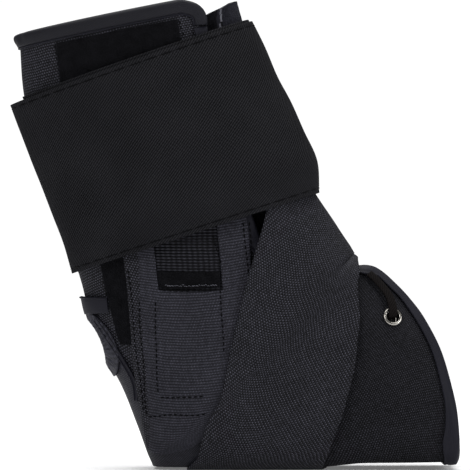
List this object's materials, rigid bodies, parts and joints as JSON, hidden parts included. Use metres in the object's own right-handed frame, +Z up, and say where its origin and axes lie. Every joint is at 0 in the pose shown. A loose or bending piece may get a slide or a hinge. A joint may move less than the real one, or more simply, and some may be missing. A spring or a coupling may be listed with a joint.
{
  "type": "ankle stabilizer",
  "caption": "Soft ankle stabilizer with padded woven quarters, two straps crossed over the instep and a wide elastic cuff, open at the toe and the heel.",
  "frame": {"origin": "on the ground under the middle of the whole, with the sole flat on z = 0", "axes": "+X from heel to toe, +Y to the far side, +Z up"},
  "size_m": [0.2504, 0.0826, 0.2615],
  "materials": {
    "nylon_weave": "coarse matte basket weave",
    "strap_weave": "coarse basket weave with a slight sheen",
    "elastic_knit": "matte fine knit",
    "loop_pile": "dull brushed pile",
    "tricot_tape": "smooth soft sheen",
    "ribbed_tape": "matte ribbed",
    "nickel": "polished plate",
    "lace_braid": "matte flat braid"
  },
  "bodies": {
    "root": {"near_quarter": "nylon_weave", "far_quarter": "nylon_weave", "near_edge_binding": "tricot_tape", "far_edge_binding": "tricot_tape", "near_loop_field": "loop_pile", "far_loop_field": "loop_pile", "near_side_panel": "nylon_weave", "far_side_panel": "nylon_weave", "near_stay_tape": "ribbed_tape", "far_stay_tape": "ribbed_tape", "near_eyelet": "nickel", "far_eyelet": "nickel", "near_strap": "strap_weave", "far_strap": "strap_weave", "collar": "tricot_tape", "heel_opening_binding": "tricot_tape", "back_tab": "tricot_tape", "tongue": "loop_pile", "elastic_cuff": "elastic_knit", "lace": "lace_braid"}
  },
  "joints": []
}
